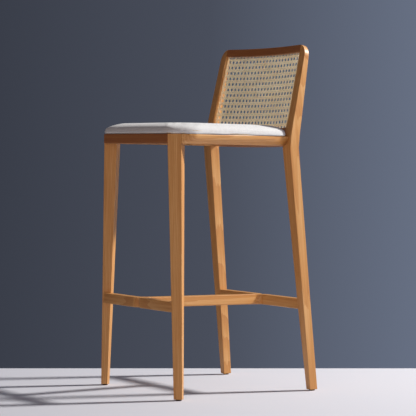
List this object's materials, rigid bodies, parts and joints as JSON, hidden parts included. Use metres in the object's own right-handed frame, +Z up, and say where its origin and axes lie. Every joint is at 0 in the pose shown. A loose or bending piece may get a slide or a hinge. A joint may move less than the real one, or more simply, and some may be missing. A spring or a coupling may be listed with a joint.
{
  "type": "bar stool with footrest",
  "caption": "Wooden bar stool with a low hollow back of woven cane, a thin upholstered seat and an H-shaped footrest between tapered legs.",
  "frame": {"origin": "on the floor, under the middle of the stool's bounding box", "axes": "+Z up, the front of the seat faces -Y, the back is at +Y, X across the stool; +X is the sitter's left-hand side"},
  "size_m": [0.4678, 0.4692, 0.9878],
  "materials": {
    "leg_wood": "satin oiled, straight grain along the piece",
    "rail_wood": "satin oiled, straight grain along the rail",
    "inner_wood": "unfinished beech",
    "cane": "woven rattan cane, natural",
    "seat_cloth": "off-white plain woven cloth",
    "foam": "open-cell polyurethane foam",
    "plywood": "bare birch plywood",
    "cambric": "black non-woven dust cover",
    "nylon": "dark moulded nylon",
    "zinc_steel": "zinc-plated steel"
  },
  "bodies": {
    "root": {"cane_bottom_spline": "cane", "cane_left_spline": "cane", "cane_panel": "cane", "cane_right_spline": "cane", "cane_top_spline": "cane", "dust_cover": "cambric", "footrest_dowel_1": "inner_wood", "footrest_dowel_2": "inner_wood", "footrest_dowel_3": "inner_wood", "footrest_left_half": "leg_wood", "footrest_right_half": "leg_wood", "front_left_corner_block": "inner_wood", "front_left_cross_screw": "zinc_steel", "front_left_glide": "nylon", "front_left_glide_nail": "zinc_steel", "front_left_leg": "leg_wood", "front_left_seat_screw": "zinc_steel", "front_left_side_screw": "zinc_steel", "front_right_corner_block": "inner_wood", "front_right_cross_screw": "zinc_steel", "front_right_glide": "nylon", "front_right_glide_nail": "zinc_steel", "front_right_leg": "leg_wood", "front_right_seat_screw": "zinc_steel", "front_right_side_screw": "zinc_steel", "front_seat_rail": "rail_wood", "left_seat_rail": "rail_wood", "rear_left_corner_block": "inner_wood", "rear_left_cross_screw": "zinc_steel", "rear_left_glide": "nylon", "rear_left_glide_nail": "zinc_steel", "rear_left_leg": "leg_wood", "rear_left_seat_screw": "zinc_steel", "rear_left_side_screw": "zinc_steel", "rear_right_corner_block": "inner_wood", "rear_right_cross_screw": "zinc_steel", "rear_right_glide": "nylon", "rear_right_glide_nail": "zinc_steel", "rear_right_leg": "leg_wood", "rear_right_seat_screw": "zinc_steel", "rear_right_side_screw": "zinc_steel", "rear_seat_rail": "rail_wood", "right_seat_rail": "rail_wood", "seat_board": "plywood", "seat_cover": "seat_cloth", "seat_foam": "foam", "top_back_rail": "rail_wood", "top_left_loose_tenon": "inner_wood", "top_right_loose_tenon": "inner_wood"}
  },
  "joints": []
}
